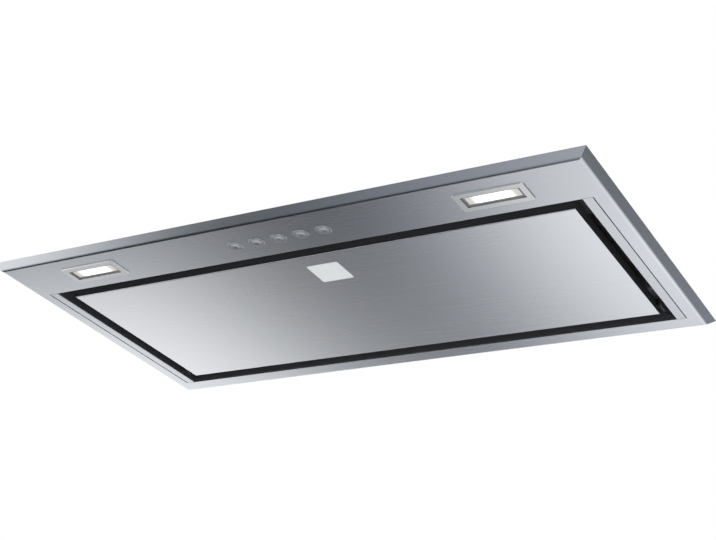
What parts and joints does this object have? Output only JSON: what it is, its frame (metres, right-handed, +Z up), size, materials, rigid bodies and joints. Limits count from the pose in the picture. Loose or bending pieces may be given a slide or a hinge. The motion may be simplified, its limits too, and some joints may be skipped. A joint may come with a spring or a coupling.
{
  "type": "built-in range hood",
  "caption": "Flush built-in canopy range hood: stainless face with edge-suction panel, push buttons and lamps under a boxed blower with round duct outlet.",
  "frame": {"origin": "middle of the seating plane, where the rim of the face meets the underside of the cabinet", "axes": "+X to the right seen from the front, +Y towards the wall behind, +Z up along the duct outlet"},
  "size_m": [0.525, 0.276, 0.2542],
  "materials": {
    "stainless_face": "brushed along the width, satin",
    "black_coat": "matt black powder coat",
    "galvanised_housing": "galvanised sheet, faint spangle",
    "galvanised_scroll": "galvanised sheet",
    "fasteners": "zinc-plated",
    "wheel_plastic": "glass-filled black moulding",
    "motor_paint": "dark grey paint",
    "bearing_bronze": "sintered bronze",
    "bush_rubber": "matt",
    "spigot_plastic": "fine-grained moulding",
    "flap_plastic": "plain moulding",
    "button_metal": "satin metallised moulding",
    "bright_trim": "bright, lightly satin",
    "lamp_lens": "frosted, translucent",
    "lamp_body": "die-cast, bead-blasted",
    "circuit_board": "green solder resist",
    "switch_moulding": "plain moulding",
    "filter_aluminium": "satin folded channel",
    "mesh_aluminium": "layered expanded mesh",
    "latch_plastic": "plain moulding",
    "capacitor_case": "smooth white case",
    "box_plastic": "light grey moulding",
    "gland_plastic": "black nylon"
  },
  "bodies": {
    "hood": {"face_tray": "stainless_face", "side_strip_left": "stainless_face", "side_strip_right": "stainless_face", "suction_frame": "black_coat", "panel_hinge_brackets": "black_coat", "panel_catch_magnets": "black_coat", "housing_front": "galvanised_housing", "housing_back": "galvanised_housing", "housing_left": "galvanised_housing", "housing_right": "galvanised_housing", "housing_top": "galvanised_housing", "pan_head_screws": "fasteners", "scroll_band": "galvanised_scroll", "scroll_side_left": "galvanised_scroll", "scroll_side_right": "galvanised_scroll", "motor_case": "motor_paint", "motor_end_cap": "motor_paint", "motor_bearings": "bearing_bronze", "motor_mount": "galvanised_scroll", "motor_bushes": "bush_rubber", "duct_spigot": "spigot_plastic", "flap_pin": "fasteners", "button_rings": "bright_trim", "switch_housing": "switch_moulding", "switch_board": "circuit_board", "micro_switches": "switch_moulding", "switch_cover": "switch_moulding", "lamp_bezel_left": "bright_trim", "lamp_bezel_right": "bright_trim", "lamp_lens_left": "lamp_lens", "lamp_lens_right": "lamp_lens", "lamp_housing_left": "lamp_body", "lamp_housing_right": "lamp_body", "lamp_boards": "circuit_board", "filter_frame_left": "filter_aluminium", "filter_frame_right": "filter_aluminium", "filter_mesh_left": "mesh_aluminium", "filter_mesh_right": "mesh_aluminium", "run_capacitor": "capacitor_case", "control_box": "box_plastic", "terminal_box": "box_plastic", "terminal_block": "box_plastic", "terminal_cover": "box_plastic", "cable_gland": "gland_plastic"},
    "suction_panel": {"panel_face": "stainless_face", "panel_pan": "black_coat", "panel_hinge_pins": "fasteners"},
    "fan_wheel": {"wheel_disc": "wheel_plastic", "wheel_blades_left": "wheel_plastic", "wheel_blades_right": "wheel_plastic", "motor_shaft": "fasteners"},
    "left_flap": {"flap_left": "flap_plastic"},
    "right_flap": {"flap_right": "flap_plastic"},
    "left_latch": {"filter_latch_left": "latch_plastic"},
    "right_latch": {"filter_latch_right": "latch_plastic"},
    "off_button": {"button_off": "button_metal"},
    "low_button": {"button_low": "button_metal"},
    "medium_button": {"button_medium": "button_metal"},
    "high_button": {"button_high": "button_metal"},
    "light_button": {"button_light": "button_metal"}
  },
  "joints": [
    {"name": "panel_hinge", "type": "hinge", "parent": "hood", "child": "suction_panel", "pos_m": [0, 0.0995, 0.0006], "axis": [1, 0, 0], "range_deg": [0, 90]},
    {"name": "wheel_spin", "type": "hinge", "parent": "hood", "child": "fan_wheel", "pos_m": [0, -0.038, 0.132], "axis": [1, 0, 0], "continuous": true},
    {"name": "left_flap_hinge", "type": "hinge", "parent": "hood", "child": "left_flap", "pos_m": [0, 0.025, 0.2133], "axis": [0, 1, 0], "range_deg": [0, 78]},
    {"name": "right_flap_hinge", "type": "hinge", "parent": "hood", "child": "right_flap", "pos_m": [0, 0.025, 0.2133], "axis": [0, -1, 0], "range_deg": [0, 78]},
    {"name": "left_latch_slide", "type": "slide", "parent": "hood", "child": "left_latch", "axis": [0, 1, 0], "range_m": [0, 0.005], "stiffness_N_per_m": 300, "springref_m": -0.004},
    {"name": "right_latch_slide", "type": "slide", "parent": "hood", "child": "right_latch", "axis": [0, 1, 0], "range_m": [0, 0.005], "stiffness_N_per_m": 300, "springref_m": -0.004},
    {"name": "off_button_press", "type": "slide", "parent": "hood", "child": "off_button", "axis": [0, 0, 1], "range_m": [0, 0.0015], "stiffness_N_per_m": 400, "springref_m": -0.0015},
    {"name": "low_button_press", "type": "slide", "parent": "hood", "child": "low_button", "axis": [0, 0, 1], "range_m": [0, 0.0015], "stiffness_N_per_m": 400, "springref_m": -0.0015},
    {"name": "medium_button_press", "type": "slide", "parent": "hood", "child": "medium_button", "axis": [0, 0, 1], "range_m": [0, 0.0015], "stiffness_N_per_m": 400, "springref_m": -0.0015},
    {"name": "high_button_press", "type": "slide", "parent": "hood", "child": "high_button", "axis": [0, 0, 1], "range_m": [0, 0.0015], "stiffness_N_per_m": 400, "springref_m": -0.0015},
    {"name": "light_button_press", "type": "slide", "parent": "hood", "child": "light_button", "axis": [0, 0, 1], "range_m": [0, 0.0015], "stiffness_N_per_m": 400, "springref_m": -0.0015}
  ]
}
